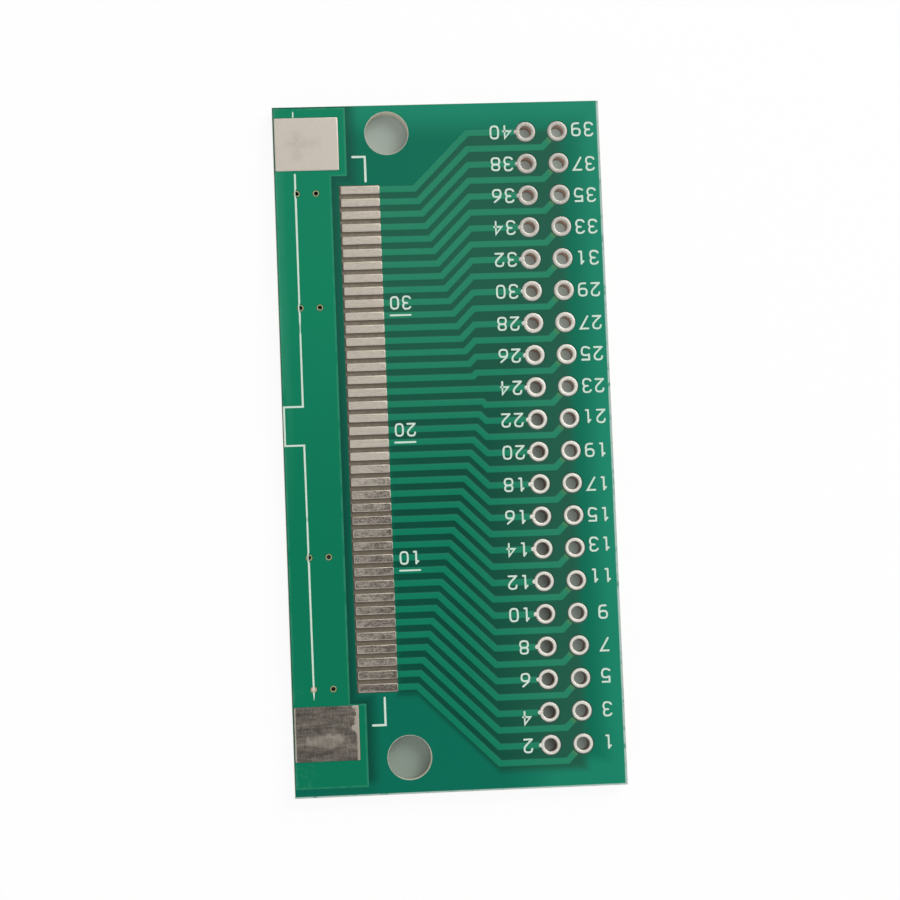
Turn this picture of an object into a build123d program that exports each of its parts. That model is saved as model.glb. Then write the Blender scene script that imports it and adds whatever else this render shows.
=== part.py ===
from build123d import *
import os

os.makedirs("parts", exist_ok=True)

# A bare adapter board. Pads for a flat flex connector on the left fan out to a two-column pin header
# on the right. On the photographed side +X is right and +Y is up, and +Z comes out of it.
# The origin is under the middle of the board, level with its lowest plane. Sizes are in millimetres.

# Layers
laminate_thickness = 1.48
copper_thickness = 0.035
mask_over_laminate = 0.035
mask_over_copper = 0.02
tin_thickness = 0.025
silk_thickness = 0.015

# Pin header
pin_rows = 20
pin_pitch = 2.54
pin_bore = 0.95
plating_thickness = 0.03
ring_diameter = 1.6
ring_gap = 0.09
header_top_margin = 2.39
header_bottom_margin = 3.3
header_right_margin = 3.35

# Flex connector pads
pad_pitch = 1.0
pad_length = 3.05
pad_width = 0.62
pads_rise = 0.31
pads_left_margin = 5.18
window_margin = 0.06

# Anchor pads above and below them
anchor_length = 5.0
anchor_height = 4.2
upper_anchor_gap = 1.63
lower_anchor_gap = 1.28
upper_anchor_margin = 0.87
lower_anchor_margin = 2.77

# Tracks
track_width = 0.5
shortest_lead = 1.51
upper_lane_run = 4.65
lower_lane_run = 4.0

# Ground copper down the left edge, on both faces, and the vias that join the two
pour_side_inset = 0.12
pour_top_inset = 0.17
pour_bottom_inset = 0.72
pour_pad_gap = 0.76
pour_right_rim = 0.55
pour_lower_rim = 0.45
pour_upper_rim = 0.06
via_diameter = 0.4
via_column_inset = 1.71
via_column_pitch = 1.52
via_levels = (0.99, 0.527, -0.474, -0.997)

# Mounting holes
screw_bore = 3.4
screw_past_pads = 0.72
screw_top_margin = 2.24
screw_bottom_margin = 2.8

# Printed marks
silk_width = 0.17
outline_inset = 1.63
outline_top_margin = 0.35
outline_gap_above = 0.21
outline_gap_below = 0.5
jog_rise = 1.02
jog_height = 3.03
mark_gap = 0.65
mark_height = 2.1
mark_length = 1.05
mark_pour_gap = 0.45
tick_gap = 0.44
tick_length = 1.7
tick_count = 3

# What repeats at every pin has straight sides: few where the wall is hidden, more on the back, and
# most where the rim shows
hidden_sides = 6
back_sides = 8
rim_sides = 10

# Heights of the layers
laminate_bottom = copper_thickness + tin_thickness
laminate_top = laminate_bottom + laminate_thickness
coated_copper = copper_thickness + mask_over_copper
tinned_copper = copper_thickness + tin_thickness
barrel_height = laminate_top + tinned_copper

# The longer of the header and the flex connector sets each end of the board
pin_count = 2 * pin_rows
header_half = (pin_rows - 1) * pin_pitch / 2
pads_half = (pin_count - 1) * pad_pitch / 2
upper_anchor_reach = pads_half + pads_rise + upper_anchor_gap + anchor_height
lower_anchor_reach = pads_half - pads_rise + lower_anchor_gap + anchor_height
top_reach = max(header_half + header_top_margin, upper_anchor_reach + upper_anchor_margin)
bottom_reach = max(header_half + header_bottom_margin, lower_anchor_reach + lower_anchor_margin)
board_length = top_reach + bottom_reach
board_top = board_length / 2
board_bottom = -board_length / 2
header_y = board_top - top_reach
pads_y = header_y + pads_rise


def lane_y(pin):
    # even tracks run level with their row of holes, odd ones half a pitch below theirs
    return header_y - header_half + (pin - 2) * pin_pitch / 2


def pad_y(pin):
    return pads_y - pads_half + (pin - 1) * pad_pitch


def climb(pin):
    return lane_y(pin) - pad_y(pin)


def lane_run(pin):
    return upper_lane_run if climb(pin) > 0 else lower_lane_run


# The widest diagonal of the fan sets the distance from the pads to the header
pins = range(1, pin_count + 1)
even_pins = pins[1::2]
odd_pins = pins[0::2]
fan_run = shortest_lead + max(lane_run(pin) + abs(climb(pin)) for pin in pins)
board_width = pads_left_margin + pad_length + fan_run + pin_pitch + header_right_margin
board_left = -board_width / 2
pad_left = board_left + pads_left_margin
pad_right = pad_left + pad_length
even_x = pad_right + fan_run
odd_x = even_x + pin_pitch

# Places of what repeats
even_holes = [(even_x, lane_y(pin)) for pin in even_pins]
odd_holes = [(odd_x, lane_y(pin)) for pin in even_pins]
first_hole, last_hole = odd_holes[0], even_holes[-1]
screw_x = pad_right + screw_past_pads
screw_holes = [(screw_x, board_top - screw_top_margin), (screw_x, board_bottom + screw_bottom_margin)]
via_xs = [board_left + via_column_inset + i * via_column_pitch for i in range(2)]
via_holes = [(x, pads_y + level * pads_half) for x in via_xs for level in via_levels]
anchor_left = board_left + pour_side_inset
pour_wide_right = anchor_left + anchor_length + pour_right_rim
pour_strip_right = pad_left - pour_pad_gap
anchor_x = anchor_left + anchor_length / 2
upper_anchor_bottom = pads_y + pads_half + upper_anchor_gap
lower_anchor_top = pads_y - pads_half - lower_anchor_gap
anchors = {
    "upper_anchor_pad": (anchor_x, upper_anchor_bottom + anchor_height / 2),
    "lower_anchor_pad": (anchor_x, lower_anchor_top - anchor_height / 2),
}


def sided(places, radius, sides, mode=Mode.ADD):
    # straight-sided outlines drawn around circles of this radius, a flat side facing each track
    with Locations(*places):
        RegularPolygon(radius, sides, major_radius=False, rotation=180 / sides, mode=mode)


def bores(places, radius, sides, mode=Mode.ADD):
    # the first and the last pin, which locate a header, have truly round walls
    sided([place for place in places if place not in (first_hole, last_hole)], radius, sides, mode)
    with Locations(*[place for place in places if place in (first_hole, last_hole)]):
        Circle(radius, mode=mode)


def mask_outline(sides):
    # the mask of one face before its copper is cut out of it
    with BuildSketch() as outline:
        Rectangle(board_width, board_length)
        sided(screw_holes, screw_bore / 2, 2 * back_sides, Mode.SUBTRACT)
        sided(even_holes + odd_holes, ring_diameter / 2 + ring_gap, sides, Mode.SUBTRACT)
    return outline.sketch


def track_route(pin):
    # level from the pad, 45 degrees across the fan and level again to the hole; an odd track passes
    # below its row of holes and climbs to its own at 45 degrees
    route = [(pad_right, pad_y(pin))]
    if abs(climb(pin)) > track_width / 10:
        turn_x = even_x - lane_run(pin)
        route += [(turn_x - abs(climb(pin)), pad_y(pin)), (turn_x, lane_y(pin))]
    if pin in even_pins:
        return route + [(even_x, lane_y(pin))]
    rise = pin_pitch / 2
    return route + [(odd_x - rise, lane_y(pin)), (odd_x, lane_y(pin) + rise)]


def stroke(*points):
    with BuildLine() as line:
        Polyline(*points)
    trace(line.line, line_width=silk_width)


def save(piece, name):
    piece.part.label = name
    export_step(piece.part, f"parts/{name}.step")


# Outlines that several layers share, drawn once
with BuildSketch() as board_outline:
    Rectangle(board_width, board_length)
    with Locations(*screw_holes):
        Circle(screw_bore / 2, mode=Mode.SUBTRACT)

track_outlines = {}
for name, numbers, holes in (("even", even_pins, even_holes), ("odd", odd_pins, odd_holes)):
    with BuildSketch() as tracks:
        for pin in numbers:
            with BuildLine() as route:
                Polyline(*track_route(pin))
            trace(route.line, line_width=track_width)
        sided(holes, ring_diameter / 2, rim_sides, Mode.SUBTRACT)
    track_outlines[name] = tracks.sketch

with BuildSketch() as pour_outline:
    upper_step = upper_anchor_bottom - pour_lower_rim
    lower_step = lower_anchor_top + pour_upper_rim
    pour_top = board_top - pour_top_inset
    pour_bottom = board_bottom + pour_bottom_inset
    with BuildLine():
        Polyline(
            (anchor_left, pour_bottom), (pour_wide_right, pour_bottom), (pour_wide_right, lower_step),
            (pour_strip_right, lower_step), (pour_strip_right, upper_step),
            (pour_wide_right, upper_step), (pour_wide_right, pour_top), (anchor_left, pour_top),
            close=True,
        )
    make_face()

# Laminate, drilled for every barrel and via
with BuildPart() as laminate_core:
    with BuildSketch(Plane.XY.offset(laminate_bottom)):
        add(board_outline.sketch)
        bores(even_holes + odd_holes, pin_bore / 2 + plating_thickness, hidden_sides, Mode.SUBTRACT)
        sided(via_holes, via_diameter / 2, hidden_sides, Mode.SUBTRACT)
    extrude(amount=laminate_thickness)
save(laminate_core, "laminate_core")

# Plated barrels with a tinned ring on each face
for name, holes in (("header_barrels_even", even_holes), ("header_barrels_odd", odd_holes)):
    with BuildPart() as barrels:
        for ring_floor, sides in ((0, back_sides), (laminate_top, rim_sides)):
            with BuildSketch(Plane.XY.offset(ring_floor)):
                sided(holes, ring_diameter / 2, sides)
            extrude(amount=tinned_copper)
        with BuildSketch(Plane.XY.offset(laminate_bottom)):
            bores(holes, pin_bore / 2 + plating_thickness, hidden_sides)
        extrude(amount=laminate_thickness)
        with BuildSketch():
            bores(holes, pin_bore / 2, rim_sides)
        extrude(amount=barrel_height, mode=Mode.SUBTRACT)
    save(barrels, name)

# Copper of the photographed side: tracks and ground under their coat of mask, pads under tin
for name, outline in track_outlines.items():
    with BuildPart() as tracks:
        with BuildSketch(Plane.XY.offset(laminate_top)):
            add(outline)
        extrude(amount=coated_copper)
    save(tracks, f"top_tracks_{name}")

with BuildPart() as flex_pads:
    with BuildSketch(Plane.XY.offset(laminate_top)):
        with Locations(((pad_left + pad_right) / 2, pads_y)):
            with GridLocations(pad_length, pad_pitch, 1, pin_count):
                Rectangle(pad_length, pad_width)
    extrude(amount=tinned_copper)
save(flex_pads, "flex_pads")

with BuildPart() as top_ground_pour:
    with BuildSketch(Plane.XY.offset(laminate_top)):
        add(pour_outline.sketch)
        with Locations(*anchors.values()):
            Rectangle(anchor_length, anchor_height, mode=Mode.SUBTRACT)
    extrude(amount=coated_copper)
save(top_ground_pour, "top_ground_pour")

for name, place in anchors.items():
    with BuildPart() as anchor:
        with BuildSketch(Plane.XY.offset(laminate_top)):
            with Locations(place):
                Rectangle(anchor_length, anchor_height)
        extrude(amount=tinned_copper)
    save(anchor, name)

# Mask between the copper, open around the rings and along the flex pads
with BuildPart() as top_solder_mask:
    with BuildSketch(Plane.XY.offset(laminate_top)):
        add(mask_outline(rim_sides))
        add(pour_outline.sketch, mode=Mode.SUBTRACT)
        for outline in track_outlines.values():
            add(outline, mode=Mode.SUBTRACT)
        with Locations((pad_right, pads_y)):
            Rectangle(
                pad_length + window_margin, 2 * (pads_half + window_margin) + pad_width,
                align=(Align.MAX, Align.CENTER), mode=Mode.SUBTRACT,
            )
    extrude(amount=mask_over_laminate)
save(top_solder_mask, "top_solder_mask")

# Back of the board: mask, the second ground pour and the vias that reach it
with BuildPart() as bottom_solder_mask:
    with BuildSketch(Plane.XY.offset(laminate_bottom)):
        add(mask_outline(back_sides))
        add(pour_outline.sketch, mode=Mode.SUBTRACT)
    extrude(amount=-mask_over_laminate)
save(bottom_solder_mask, "bottom_solder_mask")

with BuildPart() as bottom_ground_pour:
    with BuildSketch(Plane.XY.offset(laminate_bottom)):
        add(pour_outline.sketch)
    extrude(amount=-coated_copper)
save(bottom_ground_pour, "bottom_ground_pour")

with BuildPart() as ground_vias:
    with BuildSketch(Plane.XY.offset(laminate_bottom)):
        sided(via_holes, via_diameter / 2, hidden_sides)
    extrude(amount=laminate_thickness)
save(ground_vias, "ground_vias")

# Printed marks, each on the layer that it lies on
with BuildPart() as silkscreen_outline:
    with BuildSketch(Plane.XY.offset(laminate_top + coated_copper)):
        line_x = board_left + outline_inset
        jog_top = pads_y + jog_rise + jog_height / 2
        stroke((line_x, board_top - outline_top_margin), (line_x, upper_anchor_bottom + anchor_height))
        stroke(
            (line_x, upper_anchor_bottom - outline_gap_above), (line_x, jog_top),
            (anchor_left, jog_top), (anchor_left, jog_top - jog_height),
            (line_x, jog_top - jog_height), (line_x, lower_anchor_top + outline_gap_below),
        )
    extrude(amount=silk_thickness)
save(silkscreen_outline, "silkscreen_outline")

with BuildPart() as silkscreen_corner_marks:
    with BuildSketch(Plane.XY.offset(laminate_top + mask_over_laminate)):
        mark_x = pour_wide_right + mark_pour_gap + mark_length
        for side in (1, -1):
            near_y = pads_y + side * (pads_half + mark_gap)
            far_y = near_y + side * mark_height
            stroke((mark_x, near_y), (mark_x, far_y), (mark_x - mark_length, far_y))
    extrude(amount=silk_thickness)
save(silkscreen_corner_marks, "silkscreen_corner_marks")

with BuildPart() as silkscreen_pin_ticks:
    with BuildSketch(Plane.XY.offset(laminate_top + coated_copper)):
        tick_x = pad_right + tick_gap
        for i in range(1, tick_count + 1):
            tick_y = pad_y(i * pin_count // (tick_count + 1))
            stroke((tick_x, tick_y), (tick_x + tick_length, tick_y))
    extrude(amount=silk_thickness)
save(silkscreen_pin_ticks, "silkscreen_pin_ticks")

print("board", round(board_width, 3), "by", round(board_length, 3))
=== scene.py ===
import math
import random

import bmesh
import bpy
from mathutils import Matrix, Vector


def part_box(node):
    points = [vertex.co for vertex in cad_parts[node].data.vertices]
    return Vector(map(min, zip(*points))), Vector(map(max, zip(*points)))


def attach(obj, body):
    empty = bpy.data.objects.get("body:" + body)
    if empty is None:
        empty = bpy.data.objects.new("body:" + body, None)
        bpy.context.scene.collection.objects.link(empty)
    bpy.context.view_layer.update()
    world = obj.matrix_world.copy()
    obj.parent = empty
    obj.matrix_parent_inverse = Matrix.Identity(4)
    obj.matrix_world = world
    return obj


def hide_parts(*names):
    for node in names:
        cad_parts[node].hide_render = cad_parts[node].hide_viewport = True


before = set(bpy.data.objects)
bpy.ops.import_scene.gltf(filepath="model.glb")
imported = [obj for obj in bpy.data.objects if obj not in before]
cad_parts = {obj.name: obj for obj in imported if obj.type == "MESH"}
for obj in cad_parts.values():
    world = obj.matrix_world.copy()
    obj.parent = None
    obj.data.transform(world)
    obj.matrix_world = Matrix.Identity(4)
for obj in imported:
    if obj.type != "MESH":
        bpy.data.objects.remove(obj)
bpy.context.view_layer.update()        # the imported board, which is one body called root
print("frame loaded")

mm = 0.001
random.seed(40)


def boxOf(node):
    low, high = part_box(node)
    return low / mm, high / mm


# Camera
camera = {"place": (-15.252, -15.121, 195.844), "turn": (4.4783, -4.3374, -2.2448), "lens": 100}

cameraData = bpy.data.cameras.new("camera")
cameraData.lens = camera["lens"]
cameraData.clip_start = 0.01
cameraObject = bpy.data.objects.new("camera", cameraData)
cameraObject.location = Vector(camera["place"]) * mm
cameraObject.rotation_euler = [math.radians(angle) for angle in camera["turn"]]
bpy.context.collection.objects.link(cameraObject)
bpy.context.scene.camera = cameraObject
bpy.context.scene.view_settings.view_transform = "Standard"


# Shader helpers
class Wire:
    # a shader socket that can be used in sums
    def __init__(self, tree, socket=None):
        self.tree = tree
        self.socket = socket

    def node(self, kind, settings, inputs, out=0):
        # any node: its settings first, then the values or links of its sockets
        made = self.tree.nodes.new(kind)
        for name, value in settings.items():
            if name == "stops":
                ramp = made.color_ramp
                for place, colour in value[2:]:
                    ramp.elements.new(place)
                for element, (place, colour) in zip(ramp.elements, value):
                    element.position = place
                    element.color = colour
            else:
                setattr(made, name, value)
        for name, value in inputs.items():
            if isinstance(value, Wire):
                self.tree.links.new(value.socket, made.inputs[name])
            else:
                made.inputs[name].default_value = value
        return Wire(self.tree, made.outputs[out] if made.outputs else None)

    def sum(self, operation, *values):
        return self.node("ShaderNodeMath", {"operation": operation}, dict(enumerate(values)))

    def __add__(self, other):
        return self.sum("ADD", self, other)

    def __sub__(self, other):
        return self.sum("SUBTRACT", self, other)

    def __rsub__(self, other):
        return self.sum("SUBTRACT", other, self)

    def __mul__(self, other):
        return self.sum("MULTIPLY", self, other)

    def __truediv__(self, other):
        return self.sum("DIVIDE", self, other)

    def __neg__(self):
        return self.sum("MULTIPLY", self, -1)

    __radd__ = __add__
    __rmul__ = __mul__

    def __abs__(self):
        return self.sum("ABSOLUTE", self)

    def over(self, pitch):
        # what is left over each pitch
        return self.sum("FLOORED_MODULO", self, pitch)

    def least(self, other):
        return self.sum("MINIMUM", self, other)

    def most(self, other):
        return self.sum("MAXIMUM", self, other)

    def fade(self, low, high):
        # 0 below low and 1 above high, soft between; low may be the larger
        if low > high:
            return 1 - self.fade(high, low)
        return self.node("ShaderNodeMapRange", {"interpolation_type": "SMOOTHSTEP"},
                         {"Value": self, "From Min": low, "From Max": high})

    def mix(self, first, second):
        # from the first colour to the second as this value goes from 0 to 1
        return self.node("ShaderNodeMix", {"data_type": "RGBA"},
                         {"Factor": self, 6: first, 7: second}, 2)

    def mixValue(self, first, second):
        # the same between two numbers
        return first + (second - first) * self

    def noise(self, place, scale, detail=3.0, roughness=0.55, stretch=(1, 1, 1), turn=0.0):
        moved = self.node("ShaderNodeMapping", {}, {
            "Vector": place, "Scale": stretch, "Rotation": (0, 0, turn)})
        return self.node("ShaderNodeTexNoise", {}, {
            "Vector": moved, "Scale": scale, "Detail": detail, "Roughness": roughness})

    def bump(self, height, distance, strength=1.0):
        return self.node("ShaderNodeBump", {}, {
            "Height": height, "Distance": distance * mm, "Strength": strength})


def rgb(red, green, blue):
    # a colour as a screen shows it, from 0 to 255, made linear
    return tuple(
        c / 12.92 if c <= 0.04045 else ((c + 0.055) / 1.055) ** 2.4
        for c in (red / 255, green / 255, blue / 255)
    ) + (1.0,)


def newMaterial(name):
    # an empty material, its first wire, and its object coordinates in millimetres
    made = bpy.data.materials.new(name)
    made.use_nodes = True
    made.node_tree.nodes.clear()
    start = Wire(made.node_tree)
    coords = start.node("ShaderNodeTexCoord", {}, {}, "Object")
    place = start.node("ShaderNodeVectorMath", {"operation": "SCALE"}, {"Vector": coords, "Scale": 1 / mm})
    apart = start.node("ShaderNodeSeparateXYZ", {}, {"Vector": place})
    axes = [Wire(made.node_tree, socket) for socket in apart.socket.node.outputs]
    return made, start, place, axes


def finish(made, start, **inputs):
    named = {name.replace("_", " "): value for name, value in inputs.items()}
    shader = start.node("ShaderNodeBsdfPrincipled", {}, named)
    start.node("ShaderNodeOutputMaterial", {}, {"Surface": shader})
    return made


# Places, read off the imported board
boardLow, boardHigh = boxOf("laminate_core")
evenLow, evenHigh = boxOf("header_barrels_even")
oddLow, oddHigh = boxOf("header_barrels_odd")
padsLow, padsHigh = boxOf("flex_pads")
pourLow, pourHigh = boxOf("top_ground_pour")
viaLow, viaHigh = boxOf("ground_vias")
fieldTop = boxOf("top_solder_mask")[1].z       # mask over bare laminate
coatTop = pourHigh.z                           # mask over copper
tinTop = evenHigh.z
inkTop = boxOf("silkscreen_outline")[1].z
laminateTop = boardHigh.z
laminateBottom = boardLow.z
fieldBottom = boxOf("bottom_solder_mask")[0].z
coatBottom = boxOf("bottom_ground_pour")[0].z

header = {"rows": 20, "pitch": 2.54, "bore": 0.475, "ring": 0.8, "opening": 0.84, "barrel": 0.505}
evenX = (evenLow.x + evenHigh.x) / 2
oddX = (oddLow.x + oddHigh.x) / 2
headerY = (evenLow.y + evenHigh.y) / 2
rowYs = [headerY + (row - (header["rows"] - 1) / 2) * header["pitch"] for row in range(header["rows"])]

pads = {"count": 40, "pitch": 1.0, "width": 0.62, "windowMargin": 0.06}
padsY = (padsLow.y + padsHigh.y) / 2
windowLow = (padsLow.x - 2 * pads["windowMargin"], padsLow.y - pads["windowMargin"])
windowHigh = (padsHigh.x, padsHigh.y + pads["windowMargin"])

screws = {"bore": 1.7, "places": ((-3.97, 24.74), (-3.97, -24.18))}
via = {"radius": 0.2, "bore": 0.165, "rim": 0.265, "levels": (0.99, 0.527, -0.474, -0.997)}
viaXs = (viaLow.x + via["radius"], viaHigh.x - via["radius"])
viaYs = [padsY + level * (pads["count"] - 1) * pads["pitch"] / 2 for level in via["levels"]]
viaPlaces = [(x, y) for x in viaXs for y in viaYs]
filledVia = viaPlaces[3]    # the lower left one holds solder


def laneY(pin):
    return headerY - (header["rows"] - 1) / 2 * header["pitch"] + (pin - 2) * header["pitch"] / 2


def padY(pin):
    return padsY + (pin - (pads["count"] + 1) / 2) * pads["pitch"]


# the ground copper is one strip with a wider block at each end
anchorLow = {name: boxOf(name)[0] for name in ("upper_anchor_pad", "lower_anchor_pad")}
anchorHigh = {name: boxOf(name)[1] for name in ("upper_anchor_pad", "lower_anchor_pad")}
ground = {
    "stripRight": padsLow.x - 0.76, "upperStep": anchorLow["upper_anchor_pad"].y - 0.45,
    "lowerStep": anchorHigh["lower_anchor_pad"].y + 0.06, "skirt": 0.07,
}
groundStrip = ((pourLow.x, pourLow.y), (ground["stripRight"], pourHigh.y))
groundUpper = ((pourLow.x, ground["upperStep"]), (pourHigh.x, pourHigh.y))
groundLower = ((pourLow.x, pourLow.y), (pourHigh.x, ground["lowerStep"]))


# Mesh helpers
def asPiece(bm, name, material, slot, *nodes):
    # normals outwards, millimetres to metres, soft shading but for level faces and sharp edges
    bmesh.ops.recalc_face_normals(bm, faces=bm.faces)
    bmesh.ops.scale(bm, vec=(mm, mm, mm), verts=bm.verts)
    mesh = bpy.data.meshes.new(name)
    bm.to_mesh(mesh)
    bm.free()
    mesh.set_sharp_from_angle(angle=math.radians(35))
    for face in mesh.polygons:
        face.use_smooth = abs(face.normal.z) < 0.999995
    mesh.materials.append(material)
    piece = bpy.data.objects.new(name, mesh)
    bpy.context.collection.objects.link(piece)
    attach(piece, "root")
    if nodes:
        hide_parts(*nodes)
    return piece


def newOf(geometry, kind):
    return [item for item in geometry if isinstance(item, kind)]


def rectangle(bm, low, high, height):
    corners = [(low[0], low[1]), (high[0], low[1]), (high[0], high[1]), (low[0], high[1])]
    return loopOf(bm, corners, height)


def loopOf(bm, corners, height):
    verts = [bm.verts.new((x, y, height)) for x, y in corners]
    return [bm.edges.new(pair) for pair in zip(verts, verts[1:] + verts[:1])]


def circle(bm, place, radius, segments, height):
    made = bmesh.ops.create_circle(
        bm, cap_ends=False, radius=radius, segments=segments,
        matrix=Matrix.Translation((place[0], place[1], height)))
    return list({edge for vert in made["verts"] for edge in vert.link_edges})


def sheet(bm, edges, thickness, shoulders=()):
    # fills an outline with its openings, gives it thickness downwards and lifts its top in shoulders;
    # a shoulder is how far in from the edge it is and how far up
    top = newOf(bmesh.ops.triangle_fill(bm, use_beauty=True, use_dissolve=False, edges=edges)["geom"],
                bmesh.types.BMFace)
    under = bmesh.ops.extrude_face_region(bm, geom=top)["geom"]
    bmesh.ops.translate(bm, vec=(0, 0, -thickness), verts=newOf(under, bmesh.types.BMVert))
    bmesh.ops.recalc_face_normals(bm, faces=bm.faces)
    for inwards, upwards in shoulders:
        bmesh.ops.inset_region(bm, faces=top, thickness=inwards, depth=upwards,
                               use_even_offset=True, use_boundary=True)


def flip(bm, height):
    # turns a sheet made face up over, to lie face down under that height
    bmesh.ops.scale(bm, vec=(1, 1, -1), verts=bm.verts)
    bmesh.ops.translate(bm, vec=(0, 0, height), verts=bm.verts)


def stationsOf(points, halfWidth, roundEnds=False, closed=False, uneven=0.0):
    # mitred stations along a route, each a point and the sideways reach there
    points = [Vector(point) for point in points]
    count = len(points)
    made = []
    for i, point in enumerate(points):
        legs = []
        if i or closed:
            legs.append((point - points[i - 1]).normalized())
        if i < count - 1 or closed:
            legs.append((points[(i + 1) % count] - point).normalized())
        along = (legs[0] + legs[-1]).normalized()
        reach = halfWidth / max(0.5, along.dot(legs[0])) * (1 + uneven * random.uniform(-1, 1))
        made.append((point, Vector((-along.y, along.x)) * reach))
    if closed:
        return made + made[:1]
    if roundEnds:
        for end, leg in ((0, points[0] - points[1]), (-1, points[-1] - points[-2])):
            point, side = made[end]
            out = leg.normalized() * side.length
            for angle in (25, 50, 75):
                turn = math.radians(angle)
                tip = (point + out * math.sin(turn), side * math.cos(turn))
                made.insert(0 if end == 0 else len(made), tip)
    return made


def sweep(bm, section, stations):
    # carries a flat section along its stations and caps both ends
    def frameAt(station):
        (x, y), side = station
        return Matrix(((side.x, -side.y, 0, x), (side.y, side.x, 0, y), (0, 0, 1, 0), (0, 0, 0, 1)))

    here = frameAt(stations[0])
    start = end = bm.faces.new([bm.verts.new(here @ Vector((across, 0, height))) for across, height in section])
    for station in stations[1:]:
        there = frameAt(station)
        grown = bmesh.ops.extrude_face_region(bm, geom=[end])["geom"]
        bmesh.ops.transform(bm, matrix=there @ here.inverted(), verts=newOf(grown, bmesh.types.BMVert))
        if end != start:
            bmesh.ops.delete(bm, geom=[end], context="FACES_ONLY")  # it would stay inside
        end = newOf(grown, bmesh.types.BMFace)[0]
        here = there
    if stations[0] == stations[-1]:
        verts = list(start.verts) + list(end.verts)
        bmesh.ops.delete(bm, geom=[start, end], context="FACES_ONLY")
        bmesh.ops.remove_doubles(bm, verts=verts, dist=2e-4)


def lathe(bm, profile, steps, places):
    # spins a closed profile of radius and height, then sets a copy at each place
    verts = [bm.verts.new((radius, 0, height)) for radius, height in profile]
    edges = [bm.edges.new(pair) for pair in zip(verts, verts[1:] + verts[:1])]
    bmesh.ops.spin(bm, geom=verts + edges, cent=(0, 0, 0), axis=(0, 0, 1), dvec=(0, 0, 0),
                   angle=math.tau, steps=steps, use_merge=True, use_duplicate=False)
    master = bm.verts[:] + bm.edges[:] + bm.faces[:]
    for x, y in places[1:]:
        copied = newOf(bmesh.ops.duplicate(bm, geom=master)["geom"], bmesh.types.BMVert)
        bmesh.ops.translate(bm, vec=(x, y, 0), verts=copied)
    bmesh.ops.translate(bm, vec=(*places[0], 0), verts=newOf(master, bmesh.types.BMVert))

print("helpers ready")


# Solder mask: painted shade makes it darker and greyer where the copper fans out and darkest beside the ground
# copper; it is paler wherever copper lies under it; each colour is given for the lower left and for the upper right,
# the upper right one paler with painted light
maskLook = {
    "open": (rgb(0, 108, 85), rgb(4, 108, 83)), "paintedSheen": rgb(26, 138, 108), "paleEdge": rgb(186, 204, 198),
    "fanShade": (rgb(0, 70, 53), rgb(30, 91, 71)), "foot": (rgb(0, 62, 50), rgb(18, 76, 61)),
    "copper": (rgb(8, 123, 91), rgb(40, 133, 100)), "ground": (rgb(0, 119, 84), rgb(10, 130, 93)),
    # rim is a painted highlight colour, also used for the ground copper's scratches and clouding
    "rim": rgb(66, 148, 118), "olive": rgb(88, 124, 72), "roughness": 0.38, "specular": 0.13,
}


def shade(x, y, name):
    # painted light: each colour pair goes from its lower left colour to its paler upper right one
    return y.fade(-8, 16).most(x.fade(0, 9)).mix(*maskLook[name])


def insideBox(x, y, low, high):
    # how far inside a box a place is, negative outside it
    across = (high[0] - low[0]) / 2 - abs(x - (low[0] + high[0]) / 2)
    return across.least((high[1] - low[1]) / 2 - abs(y - (low[1] + high[1]) / 2))


def insideGround(x, y):
    return insideBox(x, y, *groundStrip).most(insideBox(x, y, *groundUpper)).most(insideBox(x, y, *groundLower))


def outerLevel(z):
    # how far up a place on the photographed face is, and the same for its mirror place on the back
    return abs(z - tinTop / 2) + tinTop / 2


def fieldColour(start, place, x, y, z):
    upper = (x + 1.94).most(0).least(4.32) + padY(40)
    lower = padY(1) - (x + 3.18).most(0).least(6.21)
    # painted shade: darker and greyer over the copper fan, reaching past the lowest track as a soft painted shadow
    # band
    fanShade = (upper - y).fade(-0.5, 0.3).least((y - lower).fade(-1.1, -0.2)).least(
        x.fade(10.3, 9.2)).least(x.fade(padsHigh.x - 0.4, padsHigh.x + 0.4))
    cloud = start.noise(place, 0.12, 3)
    # painted sheen: the mask is paler towards the right and upper edges and the lower right corner
    lowerRight = 0.9 * y.fade(-24.0, -25.6) * x.fade(3, 8)
    paintedSheen = x.fade(10.0, 12.6).most(y.fade(23.8, 26.8)).most(lowerRight) * (0.5 + 0.5 * cloud)
    colour = paintedSheen.mix(shade(x, y, "open"), maskLook["paintedSheen"])
    front = z.fade(tinTop / 2 - 0.1, tinTop / 2 + 0.1)
    colour = (front * fanShade * (0.75 + 0.4 * cloud).least(1)).mix(colour, shade(x, y, "fanShade"))
    # painted shade: the mask darkens towards the ground copper, less along the bottom edge
    shadeBesideGround = insideGround(x, y).fade(-1.3, 0.0) * y.fade(-26.4, -25.6).mixValue(0.2, 0.8)
    colour = shadeBesideGround.mix(colour, shade(x, y, "foot"))
    # a pale noisy line along the right and lower edges
    paleEdge = x.fade(boardHigh.x - 0.2, boardHigh.x - 0.15).most(y.fade(boardLow.y + 0.14, boardLow.y + 0.1))
    return (paleEdge * 0.8 * start.noise(place, 1.5, 3).fade(0.2, 0.5)).mix(colour, maskLook["paleEdge"])


def coat(made, start, place, colour):
    # the mask's own gloss, with a fine orange peel
    peel = start.noise(place, 2.2, 2) * 0.7 + start.noise(place, 9.0, 1) * 0.3
    return finish(made, start, Base_Color=colour, Specular_IOR_Level=maskLook["specular"],
                  Roughness=maskLook["roughness"] + 0.1 * (start.noise(place, 0.12, 3) - 0.5),
                  Normal=start.bump(peel, 0.006))


def fieldMask():
    made, start, place, (x, y, z) = newMaterial("maskOverLaminate")
    return coat(made, start, place, fieldColour(start, place, x, y, z))


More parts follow.
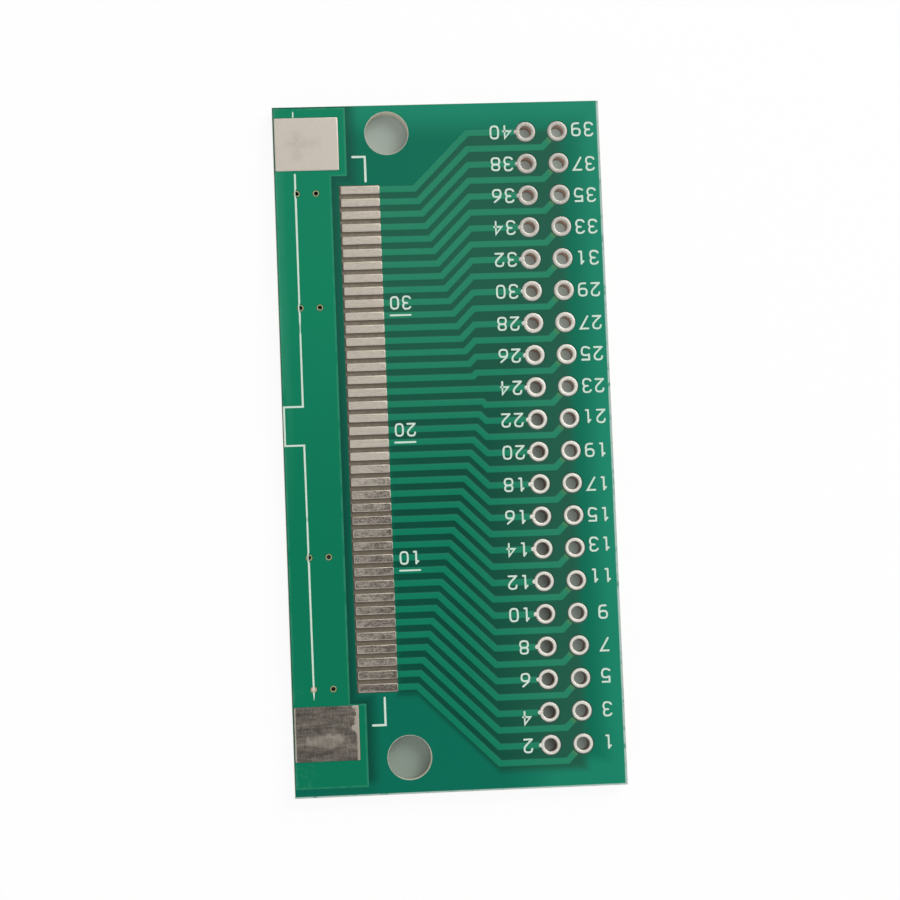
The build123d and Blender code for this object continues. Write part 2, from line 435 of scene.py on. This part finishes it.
def copperMask(name, crown, marks):
    # over copper the coat is palest on the crown and turns into the field's colour down its foot
    made, start, place, (x, y, z) = newMaterial(name)
    colour = (0.25 * start.noise(place, 0.12, 3)).mix(shade(x, y, crown), maskLook["open"][0])
    colour = marks(start, place, x, y, colour)
    raised = outerLevel(z).fade(fieldTop + 0.002, coatTop - 0.004)
    colour = raised.mix(fieldColour(start, place, x, y, z), colour)
    return coat(made, start, place, colour)


def fromHole(x, y):
    # how far across and up a place is from the nearest header hole
    rowAcross = (y - rowYs[0] + header["pitch"] / 2).over(header["pitch"])
    return abs(x - evenX).least(abs(x - oddX)), abs(rowAcross - header["pitch"] / 2)


def trackMarks(start, place, x, y, colour):
    # olive where the coat thins out beside the odd pins' rings
    up = fromHole(x, y)[1]
    apart = start.sum("SQRT", (x - oddX) * (x - oddX) + up * up)
    return (apart.fade(1.3, 0.85) * 0.6).mix(colour, maskLook["olive"])


def groundMarks(start, place, x, y, colour):
    # a painted highlight line round the edge, fine scratches by the filled via, clouding at the lower corner,
    # and paler down the left side
    depth = insideGround(x, y)
    # painted highlight round the copper's edge
    rim = depth.fade(0.13, 0.08) * start.noise(place, 0.8, 3).fade(0.3, 0.6)
    waves = start.noise(place, 2.2, 2, 0.5, (1, 2.5, 1), 0.5)
    scratches = abs(waves - 0.5).fade(0.014, 0.006) * insideBox(x, y, (-12.8, -20.4), (-11.9, -18.0)).fade(-0.2, 0.3)
    clouded = start.noise(place, 2.4, 3).fade(0.5, 0.7) * insideBox(x, y, (-12.9, -26.2), (-11.4, -24.6)).fade(-0.4, 0.5)
    hazy = x.fade(-11.9, -12.6) * y.fade(-9, 6) * start.noise(place, 0.5, 3, 0.5, (2, 0.3, 1)).fade(0.3, 0.6)
    return (rim * 0.35 + scratches * 0.4 + clouded * 0.3 + hazy * 0.25).least(1).mix(colour, maskLook["rim"])


# Hot-air levelled tin: pale and satin, mottled grey where the air knife left it thin
def tin(name, pale, grey, wearAndShade, stretch=(1, 1, 1), holed=False):
    # the function given says how far each place has gone from pale to grey, by wear and on the rings also by painted
    # shade, from x, y, streaks and specks
    made, start, place, (x, y, z) = newMaterial(name)
    streaks = start.noise(place, tinLook["streakScale"], 5, 0.65, stretch)
    specks = start.noise(place, tinLook["speckScale"], 3, 0.6)
    if holed:
        pale = y.fade(-2, 24).mix(*pale)  # the lower rows shine most
    colour = wearAndShade(start, place, x, y, streaks, specks).mix(pale, grey)
    colour = (specks.fade(0.45, 0.85) * 0.15).mix(colour, tinLook["stain"])
    if holed:
        # the mask creeps a little way up each ring, but not over its nub, and painted shade darkens it most in the
        # lower rows; the bores are brown inside, painted paler towards the upper rows as painted light
        across, up = fromHole(x, y)
        nub = x.fade(evenX - 0.6, evenX - 0.64) * up.fade(0.2, 0.13)
        creepAndShade = start.sum("SQRT", across * across + up * up).fade(0.69, 0.775) * (1 - nub)
        colour = (creepAndShade * y.fade(12, -4).mixValue(0.1, 0.8)).mix(colour, tinLook["creepAndShade"])
        inside = y.fade(-4, 12).mix(*tinLook["bore"])
        colour = outerLevel(z).fade(tinTop - 0.05, tinTop - 0.25).mix(colour, inside)
    return finish(made, start, Base_Color=colour, Metallic=0.4,
                  Roughness=0.42 + 0.2 * (streaks - 0.5),
                  Normal=start.bump(streaks * 0.6 + specks * 0.4, 0.006))


def ringWear(start, place, x, y, streaks, specks):
    # painted shade where the ring turns down into its bore, most in the lower rows, with specks of wear
    across, up = fromHole(x, y)
    turned = start.sum("SQRT", across * across + up * up).fade(0.57, 0.5) * y.fade(12, -4).mixValue(0.1, 0.85)
    return (specks.fade(0.5, 0.8) * 0.25 + turned).least(1)


def padWear(start, place, x, y, streaks, specks):
    # below the middle of the row the pads are grey and speckled inside a pale frame, most at their right ends
    across = (y - (padY(1) - pads["width"] / 2)).over(pads["pitch"])
    inFrame = (x - padsLow.x).least(padsHigh.x - x).least(across).least(pads["width"] - across)
    patches = start.noise(place, 0.9, 2, 0.5, (1, 2.4, 1)).fade(0.38, 0.62)
    rightEnd = x.fade(padsLow.x + 0.6, padsHigh.x - 0.6)
    greyed = 0.12 + 0.22 * y.fade(-1.5, -8.0) + 0.22 * patches + 0.14 * rightEnd + 0.1 * y.fade(-16.5, -18.5)
    specked = specks.fade(0.5, 0.62) * (0.3 + 0.55 * rightEnd * patches) + 0.3 * streaks.fade(0.45, 0.58)
    brushed = 0.24 * streaks.fade(0.4, 0.7)
    worn = (greyed + specked) * y.fade(-1.5, -4.5).mixValue(0.5, 1)
    return (y.fade(-1.0, -1.4) * inFrame.fade(0.02, 0.06)).mixValue(brushed, worn.least(1.0))


def paleWear(start, place, x, y, streaks, specks):
    # hardly any, but for a soft smudge left of the middle
    centre = (anchorLow["upper_anchor_pad"] + anchorHigh["upper_anchor_pad"]) / 2
    upright = insideBox(x, y, (centre.x - 1.0, centre.y - 1.1), (centre.x - 0.55, centre.y + 0.9))
    level = insideBox(x, y, (centre.x - 1.5, centre.y - 0.1), (centre.x + 0.9, centre.y + 0.25))
    return upright.most(level).fade(-0.5, 0.25) * 0.16 * streaks.fade(0.25, 0.6) + streaks.fade(0.5, 0.8) * 0.08


def darkWear(start, place, x, y, streaks, specks):
    # scraped dark in level bands and fine upright lines, with a paler patch below the middle,
    # and pale down each side and at the upper right
    low, high = anchorLow["lower_anchor_pad"], anchorHigh["lower_anchor_pad"]
    centre = (low + high) / 2
    wander = start.noise(place, 1.3, 4)
    bands = start.noise(place, 1.5, 5, 0.65, (0.35, 1.8, 1)) - 0.5
    rightRim = 0.1 + 0.9 * wander.fade(0.35, 0.65) * y.fade(centre.y - 0.4, centre.y + 0.6)
    inFrame = (x - low.x - 0.06).fade(0.0, 0.1).least((high.x - 0.1 - x - rightRim * 0.55).fade(-0.05, 0.1))
    across, up = (x - centre.x) / 1.7, (y - centre.y + 0.55) / 0.5
    patch = 1.1 + 1.8 * (wander - 0.5) - start.sum("SQRT", across * across + up * up)
    worn = 0.84 + 1.1 * bands + 0.7 * (streaks - 0.5) + 0.6 * (specks - 0.5) - 0.34 * patch.fade(-0.2, 0.35)
    return (inFrame * worn).most(0.12).least(1.0)


tinLook = {
    "ring": (rgb(236, 232, 222), rgb(188, 184, 175)),
    "pad": rgb(202, 192, 178), "anchor": rgb(208, 199, 187), "rim": rgb(186, 176, 162),
    "grey": rgb(92, 85, 77), "darkest": rgb(78, 71, 65), "stain": rgb(150, 134, 122),
    "turned": rgb(92, 84, 74), "creepAndShade": rgb(50, 84, 66), "bore": (rgb(172, 138, 126), rgb(216, 182, 164)),
    "streakScale": 4.0, "speckScale": 9.0,
}
ringTin = tin("ringTin", tinLook["ring"], tinLook["turned"], ringWear, holed=True)
padTin = tin("padTin", tinLook["pad"], tinLook["grey"], padWear, (0.6, 2.2, 1))
paleTin = tin("paleAnchorTin", tinLook["anchor"], tinLook["grey"], paleWear, (0.8, 0.8, 1))
darkTin = tin("darkAnchorTin", tinLook["rim"], tinLook["darkest"], darkWear, (2.4, 0.4, 1))


def inkMaterial():
    made, start, place, (x, y, z) = newMaterial("whiteInk")
    thin = start.noise(place, 4.0, 3)
    colour = (thin.fade(0.5, 0.85) * 0.3).mix(rgb(206, 224, 210), rgb(110, 168, 140))
    return finish(made, start, Base_Color=colour, Roughness=0.5 + 0.2 * thin,
                  Normal=start.bump(thin, 0.008))


def laminateMaterial():
    # woven glass in resin: brown-grey where it is bare between the pads, with painted shade; dark green round the
    # rings, partly thin mask and partly painted shadow; paler and layered on cut edges
    made, start, place, (x, y, z) = newMaterial("glassEpoxy")
    fromScrews = [start.sum("SQRT", (x - across) * (x - across) + (y - up) * (y - up))
                  for across, up in screws["places"]]
    inside = (boardHigh.x - 0.08 - abs(x)).least(boardHigh.y - 0.08 - abs(y)).least(
        fromScrews[0].least(fromScrews[1]) - screws["bore"] - 0.08).fade(0.0, 0.03)
    face = z.fade(laminateTop - 0.01, laminateTop - 0.002).most(z.fade(laminateBottom + 0.01, laminateBottom + 0.002))
    weave = start.node("ShaderNodeTexWave", {"wave_type": "BANDS", "bands_direction": "Z"},
                       {"Vector": place, "Scale": 2.2, "Distortion": 2.0, "Detail": 2.0, "Detail Scale": 3.0})
    mottle = start.noise(place, 2.5, 4)
    layered = (weave * 0.5 + mottle * 0.5).mix(rgb(176, 171, 152), rgb(230, 225, 210))
    glints = start.noise(place, 7.0, 2, 0.5, (1, 1, 0.3)).fade(0.62, 0.72)
    cut = (glints * 0.6).mix(layered, rgb(245, 242, 235))
    gap = (y - (padY(1) + pads["width"] / 2)).over(pads["pitch"])
    # painted shadow darkens the top of each gap under the pad above it, and painted light makes the laminate paler
    # towards the top of the board
    pale = mottle * gap.fade(0.36, 0.1).mixValue(0.1, 1.2) * y.fade(-10, 16).mixValue(0.65, 1.1)
    bareAndShade = pale.mix(rgb(76, 64, 52), rgb(134, 124, 104))
    # dark green round the rings: partly thin mask, partly painted shadow at the mask's edge
    bareAndShade = x.fade(3, 4).mix(bareAndShade, rgb(42, 76, 60))
    return finish(made, start, Base_Color=(face * inside).mix(cut, bareAndShade), Roughness=0.6 - 0.2 * glints,
                  Normal=start.bump(weave * 0.4 + mottle * 0.6, 0.02))


def viaMaterial():
    made, start, place, (x, y, z) = newMaterial("viaCopper")
    mottle = start.noise(place, 6.0, 3)
    rim = z.fade(tinTop - 0.05, tinTop - 0.02).most(z.fade(0.05, 0.02))
    colour = rim.mix(rgb(44, 30, 20), mottle.mix(rgb(120, 146, 96), rgb(184, 182, 138)))
    return finish(made, start, Base_Color=colour, Metallic=0.2, Roughness=0.45 + 0.2 * mottle,
                  Normal=start.bump(mottle, 0.01))


def solderMaterial():
    made, start, place, (x, y, z) = newMaterial("viaSolder")
    mottle = start.noise(place, 7.0, 3)
    return finish(made, start, Base_Color=mottle.mix(rgb(196, 160, 140), rgb(240, 232, 224)),
                  Metallic=0.4, Roughness=0.35 + 0.2 * mottle, Normal=start.bump(mottle, 0.02))


maskField = fieldMask()
maskTracks = copperMask("maskOverTracks", "copper", trackMarks)
maskGround = copperMask("maskOverGround", "ground", groundMarks)
ink = inkMaterial()
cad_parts["laminate_core"].data.materials.clear()
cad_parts["laminate_core"].data.materials.append(laminateMaterial())
print("materials ready")


# Mask sheets of both faces
maskSheet = {"inset": 0.025, "rim": 0.04, "lift": 0.008, "ringSteps": 40, "screwSteps": 72, "viaSteps": 16}


def maskEdges(bm, height, window):
    inset = maskSheet["inset"]
    edges = rectangle(bm, (boardLow.x + inset, boardLow.y + inset),
                      (boardHigh.x - inset, boardHigh.y - inset), height)
    for x in (evenX, oddX):
        for y in rowYs:
            edges += circle(bm, (x, y), header["opening"], maskSheet["ringSteps"], height)
    for place in screws["places"]:
        edges += circle(bm, place, screws["bore"] + maskSheet["rim"], maskSheet["screwSteps"], height)
    for place in viaPlaces:
        edges += circle(bm, place, via["rim"], maskSheet["viaSteps"], height)
    if window:
        edges += rectangle(bm, windowLow, windowHigh, height)
    return edges


for name, node, window in (("maskTop", "top_solder_mask", True), ("maskBottom", "bottom_solder_mask", False)):
    bm = bmesh.new()
    edges = maskEdges(bm, fieldTop - maskSheet["lift"], window)
    sheet(bm, edges, fieldTop - maskSheet["lift"] - laminateTop, ((0.02, 0.005), (0.03, 0.003)))
    if not window:
        flip(bm, tinTop)
    asPiece(bm, name, maskField, "solder_mask", node)
print("mask sheets made")


# Tracks under their coat, with a soft foot each side
track = {"half": 0.25, "foot": 1.35, "ringGap": 0.88, "upperRun": 4.65, "lowerRun": 4.0}
coatSection = [(-track["foot"], laminateTop + 0.01), (-track["foot"], fieldTop - 0.003), (-1.06, fieldTop + 0.004),
               (-0.86, coatTop - 0.005), (-0.6, coatTop - 0.001), (0.0, coatTop)]
coatSection += [(-across, height) for across, height in reversed(coatSection[:-1])]


def trackRoute(pin):
    # level from the pad, 45 degrees across the fan and level to the hole; odd ones pass below their row
    lane, climb = laneY(pin), laneY(pin) - padY(pin)
    route = [(padsHigh.x, padY(pin))]
    if abs(climb) > 0.05:
        turnX = evenX - (track["upperRun"] if climb > 0 else track["lowerRun"])
        route += [(turnX - abs(climb), padY(pin)), (turnX, lane)]
    if pin % 2 == 0:
        return route + [(evenX - track["ringGap"], lane)]
    rise, short = header["pitch"] / 2, track["ringGap"] * math.sqrt(0.5)
    return route + [(oddX - rise, lane), (oddX - short, lane + rise - short)]


for name, node, first in (("tracksEven", "top_tracks_even", 2), ("tracksOdd", "top_tracks_odd", 1)):
    bm = bmesh.new()
    for pin in range(first, pads["count"] + 1, 2):
        sweep(bm, coatSection, stationsOf(trackRoute(pin), track["half"]))
    asPiece(bm, name, maskTracks, "coated_copper", node)
print("tracks made")


# Ground copper under its coat, both faces
for name, node, anchored in (("groundTop", "top_ground_pour", True), ("groundBottom", "bottom_ground_pour", False)):
    bm = bmesh.new()
    skirt, base = ground["skirt"], fieldTop - 0.003
    left, right = pourLow.x - skirt, pourHigh.x + skirt
    outline = [(left, pourLow.y - skirt), (right, pourLow.y - skirt), (right, ground["lowerStep"] + skirt),
               (ground["stripRight"] + skirt, ground["lowerStep"] + skirt),
               (ground["stripRight"] + skirt, ground["upperStep"] - skirt), (right, ground["upperStep"] - skirt),
               (right, pourHigh.y + skirt), (left, pourHigh.y + skirt)]
    for anchor in anchorLow if anchored else ():
        low, high = anchorLow[anchor], anchorHigh[anchor]
        outline += [(left, high.y), (high.x, high.y), (high.x, low.y), (left, low.y)]
    edges = loopOf(bm, outline, base)
    for place in viaPlaces:
        edges += circle(bm, place, via["rim"], maskSheet["viaSteps"], base)
    sheet(bm, edges, base - laminateTop - 0.005, ((0.025, 0.013), (0.02, 0.006), (0.015, 0.004)))
    if not anchored:
        flip(bm, tinTop)
    asPiece(bm, name, maskGround, "coated_copper", node)
print("ground copper made")


# Tinned lands: each is a plate with a domed top
land = {"start": 0.02, "corner": 0.06, "shoulders": ((0.03, 0.011), (0.03, 0.006), (0.025, 0.003))}


def tinLand(bm, low, high):
    cut = land["corner"]
    corners = [(low[0] + cut, low[1]), (high[0] - cut, low[1]), (high[0], low[1] + cut), (high[0], high[1] - cut),
               (high[0] - cut, high[1]), (low[0] + cut, high[1]), (low[0], high[1] - cut), (low[0], low[1] + cut)]
    sheet(bm, loopOf(bm, corners, tinTop - land["start"]), tinTop - land["start"] - laminateTop, land["shoulders"])


bm = bmesh.new()
for pin in range(1, pads["count"] + 1):
    tinLand(bm, (padsLow.x, padY(pin) - pads["width"] / 2), (padsHigh.x, padY(pin) + pads["width"] / 2))
asPiece(bm, "flexPads", padTin, "tinned_copper", "flex_pads")
for name, node, finishOf in (("anchorUpper", "upper_anchor_pad", paleTin), ("anchorLower", "lower_anchor_pad", darkTin)):
    bm = bmesh.new()
    tinLand(bm, anchorLow[node], anchorHigh[node])
    asPiece(bm, name, finishOf, "tinned_copper", node)
print("pads made")


# Plated barrels: a ring of tin on each face, a domed rim into the bore, and a nub where the track leaves
ringProfile = [(header["bore"], 0.8), (header["bore"], 0.09), (0.492, 0.03), (0.53, 0.008), (0.6, 0.0), (0.68, 0.0),
               (0.745, 0.006), (0.78, 0.02), (header["ring"] - 0.005, 0.06), (header["barrel"], 0.06)]
barrelProfile = ringProfile + [(radius, tinTop - height) for radius, height in reversed(ringProfile[1:])]
barrel = {"steps": 36, "nub": 0.165, "nubFrom": 0.62, "nubTo": 0.79}
nubSection = [(-1, laminateTop), (-1, tinTop - 0.02), (-0.6, tinTop - 0.004), (0, tinTop - 0.001),
              (0.6, tinTop - 0.004), (1, tinTop - 0.02), (1, laminateTop)]
for name, node, x in (("barrelsEven", "header_barrels_even", evenX), ("barrelsOdd", "header_barrels_odd", oddX)):
    bm = bmesh.new()
    lathe(bm, barrelProfile, barrel["steps"], [(x, y) for y in rowYs])
    for y in rowYs if x == evenX else []:
        reach = barrel["nubTo"] - 0.05 * random.random()
        route = [(x - barrel["nubFrom"], y), (x - reach, y)]
        sweep(bm, nubSection, stationsOf(route, barrel["nub"], roundEnds=True))
    asPiece(bm, name, ringTin, "tinned_copper", node)

viaProfile = [(via["bore"], 0.8), (via["bore"], 0.03), (0.18, 0.01), (0.2, 0.005), (0.235, 0.008), (0.255, 0.03),
              (0.255, 0.06), (via["radius"] - 0.01, 0.06)]
viaProfile += [(radius, tinTop - height) for radius, height in reversed(viaProfile[1:])]
bm = bmesh.new()
lathe(bm, viaProfile, 20, viaPlaces)
asPiece(bm, "viaRims", viaMaterial(), "tinned_copper", "ground_vias")
bm = bmesh.new()
plugProfile = [(0.001, 0.9), (via["bore"] - 0.002, 0.95), (via["bore"] - 0.002, tinTop - 0.02), (0.16, tinTop - 0.001),
               (0.13, tinTop + 0.004), (0.07, tinTop + 0.008), (0.001, tinTop + 0.009)]
lathe(bm, plugProfile, 20, [filledVia])
asPiece(bm, "viaPlug", solderMaterial(), "tinned_copper")
print("barrels and vias made")


# Printed marks
printed = {"half": 0.09, "lineHalf": 0.075, "uneven": 0.1}


def inkSection(low, high):
    return [(-1, low), (-0.96, high - 0.005), (-0.8, high), (0.8, high), (0.96, high - 0.005), (1, low)]


outlineX = boardLow.x + 1.63
outlineLow, outlineHigh = boxOf("silkscreen_outline")
jogTop = padsY + 1.02 + 3.03 / 2
jogLow = jogTop - 3.03


# where the line thins: the place, half the length, how far it steps aside and the width left
thinnings = [(y, 0.2, -0.05, 0.55) for y in viaYs] + [(9.45, 0.3, 0, 0.5), (-5.5, 0.06, 0, 0.55)]


def downwards(top, bottom, drift=0.0):
    points, widths = [(outlineX, top)], [1.0]
    for y, half, aside, width in sorted(thinnings, reverse=True):
        if bottom + 0.4 < y < top - 0.4:
            for step, sideways, share in ((half + 0.22, 0, 1), (half, aside, width), (-half, aside, width),
                                          (-half - 0.22, 0, 1)):
                points.append((outlineX + sideways + drift * (top - y - step) / (top - bottom), y + step))
                widths.append(share)
    return points + [(outlineX + drift, bottom)], widths + [1.0]


def inkLine(bm, points, low, high, half, widths=None):
    stations = stationsOf(points, half, roundEnds=True, uneven=printed["uneven"])
    if widths:
        extra = (len(stations) - len(points)) // 2
        widths = [widths[0]] * extra + widths + [widths[-1]] * extra
        stations = [(point, side * width) for (point, side), width in zip(stations, widths)]
    sweep(bm, inkSection(low, high), stations)


bm = bmesh.new()
lineLow, lineHigh = coatTop - 0.004, inkTop
anchorTop, anchorBottom = anchorHigh["upper_anchor_pad"].y, anchorLow["upper_anchor_pad"].y
inkLine(bm, [(outlineX, outlineHigh.y - 0.09), (outlineX, anchorTop + 0.1)], lineLow, lineHigh,
        printed["lineHalf"], [0.7, 0.8])
upperPoints, upperWidths = downwards(anchorBottom - 0.3, jogTop)
lowerPoints, lowerWidths = downwards(jogLow, filledVia[1] + 0.22, filledVia[0] - outlineX)
jog = [(pourLow.x + 0.03, jogTop), (pourLow.x + 0.03, jogLow)]
inkLine(bm, upperPoints + jog + lowerPoints, lineLow, lineHigh, printed["lineHalf"],
        upperWidths + [1, 1] + lowerWidths)
inkLine(bm, [(filledVia[0], filledVia[1] - 0.24), (filledVia[0], outlineLow.y + 0.09)], lineLow, lineHigh,
        printed["lineHalf"], [1.0, 0.3])
asPiece(bm, "inkOutline", ink, "silkscreen_ink", "silkscreen_outline")

bm = bmesh.new()
markLow, markHigh = boxOf("silkscreen_corner_marks")
markX = markHigh.x - printed["half"]
# the lower mark is a little longer, and both sit a little low, as photographed
for end, corner in ((markHigh.y - 2.15, markHigh.y - 0.21), (markLow.y + 2.05, markLow.y - 0.04)):
    inkLine(bm, [(markX, end), (markX, corner), (markLow.x + 0.08, corner)],
            fieldTop - 0.004, markHigh.z, printed["half"])
asPiece(bm, "inkCornerMarks", ink, "silkscreen_ink", "silkscreen_corner_marks")

bm = bmesh.new()
tickLow, tickHigh = boxOf("silkscreen_pin_ticks")
tickPins = (10, 20, 30)
for pin in tickPins:
    inkLine(bm, [(tickLow.x + 0.06, padY(pin)), (tickHigh.x - 0.06, padY(pin))], lineLow, lineHigh,
            printed["lineHalf"])
asPiece(bm, "inkPinTicks", ink, "silkscreen_ink", "silkscreen_pin_ticks")


# Pin numbers in a plain stroke lettering: points across and up a cell of 1 by 1; a round stroke is
# smoothed, and a closed one joins its ends
figures = {
    "0": [("ring", [(0, 0.2), (0, 0.8), (0.2, 1), (0.8, 1), (1, 0.8), (1, 0.2), (0.8, 0), (0.2, 0)])],
    "1": [("line", [(0.5, 0), (0.5, 1)]), ("line", [(0.5, 0.96), (0.24, 0.8)]), ("line", [(0.5, 0), (0.78, 0)])],
    "2": [("bend", [(0, 0.76), (0.08, 0.98), (0.5, 1.04), (0.95, 0.96), (1, 0.66), (0.75, 0.46), (0, 0)]),
          ("line", [(0, 0), (1, 0)])],
    "3": [("bend", [(0, 0.88), (0.2, 1.03), (0.85, 1.04), (1, 0.75), (0.8, 0.52), (0.4, 0.53)]),
          ("bend", [(0.4, 0.53), (0.85, 0.53), (1.03, 0.27), (0.85, -0.04), (0.2, -0.03), (0, 0.12)])],
    "4": [("line", [(0.8, 0), (0.8, 1), (0.05, 0.42), (1, 0.42)])],
    "5": [("line", [(0.95, 1), (0.05, 1), (0.05, 0.6)]),
          ("bend", [(0.05, 0.58), (0.45, 0.66), (0.95, 0.6), (1.02, 0.25), (0.8, -0.04), (0.3, -0.02), (0, 0.08)])],
    "6": [("ring", [(0, 0.15), (0, 0.45), (0.2, 0.58), (0.8, 0.58), (1, 0.45), (1, 0.15), (0.8, 0), (0.2, 0)]),
          ("bend", [(0.0, 0.34), (0.06, 0.58), (0.3, 0.74), (0.82, 1)])],
    "7": [("line", [(0, 1), (1, 1), (0.05, 0)])],
    "8": [("ring", [(0.03, 0.66), (0.03, 0.88), (0.22, 1), (0.78, 1), (0.97, 0.88), (0.97, 0.66), (0.78, 0.53),
                    (0.22, 0.53)]),
          ("ring", [(0, 0.14), (0, 0.4), (0.2, 0.53), (0.8, 0.53), (1, 0.4), (1, 0.14), (0.8, 0), (0.2, 0)])],
    "9": [("ring", [(0, 0.57), (0, 0.85), (0.2, 1), (0.8, 1), (1, 0.85), (1, 0.57), (0.8, 0.44), (0.2, 0.44)]),
          ("bend", [(1, 0.7), (1.0, 0.2), (0.8, 0.0), (0.15, 0.0)])],
}
lettering = {"wide": 0.61, "high": 0.97, "advance": 1.0, "half": 0.075, "uneven": 0.06}


def smoothed(points, closed):
    # cuts every corner twice, so that a bend turns softly
    for cut in range(2):
        pairs = list(zip(points, points[1:] + points[:1]))[:None if closed else -1]
        softer = [point for a, b in pairs for point in (a.lerp(b, 0.25), a.lerp(b, 0.75))]
        points = softer if closed else [points[0]] + softer[1:-1] + [points[-1]]
    return points


def writeNumber(bm, number, centre, high, size=1.0):
    # the figures stand upside down on the photographed side, to read from the header's end
    text = str(number)
    for i, figure in enumerate(text):
        left = (i - (len(text) - 1) / 2) * lettering["advance"] * size - lettering["wide"] * size / 2
        for step, (kind, points) in enumerate(figures[figure]):
            route = [Vector((-(left + x * lettering["wide"] * size), -((y - 0.5) * lettering["high"] * size)))
                     + Vector(centre) for x, y in points]
            if kind != "line":
                route = smoothed(route, kind == "ring")
            stations = stationsOf(route, lettering["half"], kind != "ring", kind == "ring", lettering["uneven"])
            sweep(bm, inkSection(fieldTop - 0.004, high - step * 0.0006), stations)


labelShift = {39: 0.1, 37: -0.12, 35: -0.08, 33: -0.06, 27: -0.08, 21: 0.12, 17: -0.12, 13: 0.22, 11: 0.3,
              5: 0.11, 3: 0.06, 1: 0.06, 4: -0.4}
evenLabels, oddLabels = bmesh.new(), bmesh.new()
for row, y in enumerate(rowYs):
    even, odd = 2 * row + 2, 2 * row + 1
    writeNumber(evenLabels, even, (5.06 if even > 9 else 5.25, y + labelShift.get(even, 0)), inkTop - 0.001)
    writeNumber(oddLabels, odd, (11.56, y + labelShift.get(odd, 0)), inkTop - 0.001)
asPiece(evenLabels, "inkEvenNumbers", ink, "silkscreen_ink")
asPiece(oddLabels, "inkOddNumbers", ink, "silkscreen_ink")
bm = bmesh.new()
for pin in tickPins:
    writeNumber(bm, pin, (-3.37, padY(pin) + 0.98), inkTop - 0.001, 0.94)
asPiece(bm, "inkPadNumbers", ink, "silkscreen_ink")
print("printing made")


# Floor, white to the camera around the board; where it shows through the holes it is lit, with painted shadow
# towards the bottom and a painted glow added for the camera
stage = {"size": 1.2, "white": 0.9, "glowUnderHoles": (0.01, 0.07), "paper": rgb(250, 250, 250),
         "floor": (rgb(158, 172, 164), rgb(176, 186, 179))}
bm = bmesh.new()
bmesh.ops.create_grid(bm, x_segments=1, y_segments=1, size=stage["size"] / 2,
                      matrix=Matrix.Translation((0, 0, -0.00003)))
mesh = bpy.data.meshes.new("floor")
bm.to_mesh(mesh)
bm.free()
floorMaterial, start, place, (x, y, z) = newMaterial("paleFloor")
seen = start.node("ShaderNodeLightPath", {}, {})
rays = {name: Wire(start.tree, seen.socket.node.outputs[name])
        for name in ("Is Camera Ray", "Is Glossy Ray", "Is Transmission Ray")}
outside = (abs(x) - boardHigh.x).most(abs(y) - boardHigh.y).fade(-0.6, -0.1)
anyRay = rays["Is Camera Ray"].most(rays["Is Glossy Ray"]).most(rays["Is Transmission Ray"])
# painted shadow: under the board the floor is darker towards the bottom
upwards = y.fade(-22, 22)
lit = start.node("ShaderNodeBsdfDiffuse", {}, {"Color": outside.mix(upwards.mix(*stage["floor"]), stage["paper"])})
# painted glow: in the header holes it is paler to the lower left of each, more in the odd column and the upper rows
half = header["pitch"] / 2
lean = (x - evenX + half).over(header["pitch"]) + 0.5 * (y - rowYs[0] + half).over(header["pitch"]) - 1.5 * half
glowInBores = 0.025 + 0.09 * lean.fade(0.5, -0.4) + 0.06 * x.fade(8.2, 8.4) + 0.05 * y.fade(6, 18)
under = upwards.mixValue(*stage["glowUnderHoles"]) + glowInBores * x.fade(5.0, 5.4)
share = outside.mixValue(under, stage["white"])
# white outside the board; under it the glow is pale green, a painted reflection of the mask
white = start.node("ShaderNodeEmission", {}, {"Color": outside.mix((0.86, 1, 0.9, 1), (1, 1, 1, 1)), "Strength": 1.0})
blend = start.node("ShaderNodeMixShader", {}, {0: anyRay * share, 1: lit, 2: white})
start.node("ShaderNodeOutputMaterial", {}, {"Surface": blend})
mesh.materials.append(floorMaterial)
floor = bpy.data.objects.new("floor", mesh)
bpy.context.collection.objects.link(floor)

# Soft studio light: a pale room, and one large lamp up and to the right
lamps = {
    "key": {"place": (240, 250, 400), "size": 0.34, "power": 1.5, "colour": (1.0, 0.985, 0.96)},
    "fill": {"place": (-190, -260, 280), "size": 0.4, "power": 0.5, "colour": (0.96, 0.98, 1.0)},
}
for name, lamp in lamps.items():
    lampData = bpy.data.lights.new(name, "AREA")
    lampData.size = lamp["size"]
    lampData.energy = lamp["power"]
    lampData.color = lamp["colour"]
    lampObject = bpy.data.objects.new(name, lampData)
    lampObject.location = Vector(lamp["place"]) * mm
    lampObject.rotation_euler = (-lampObject.location).to_track_quat("-Z", "Y").to_euler()
    bpy.context.collection.objects.link(lampObject)
room = {"walls": 1.0, "ceiling": 0.28, "colour": (0.96, 0.98, 1.0, 1)}
world = bpy.data.worlds.new("room")
world.use_nodes = True
world.node_tree.nodes.clear()
start = Wire(world.node_tree)
ways = start.node("ShaderNodeTexCoord", {}, {}, "Generated")
up = start.node("ShaderNodeSeparateXYZ", {}, {"Vector": ways}, "Z")
glow = start.node("ShaderNodeBackground", {}, {
    "Color": room["colour"], "Strength": up.fade(0.25, 0.8).mixValue(room["walls"], room["ceiling"])})
start.node("ShaderNodeOutputWorld", {}, {"Surface": glow})
bpy.context.scene.world = world
print("stage and light ready")
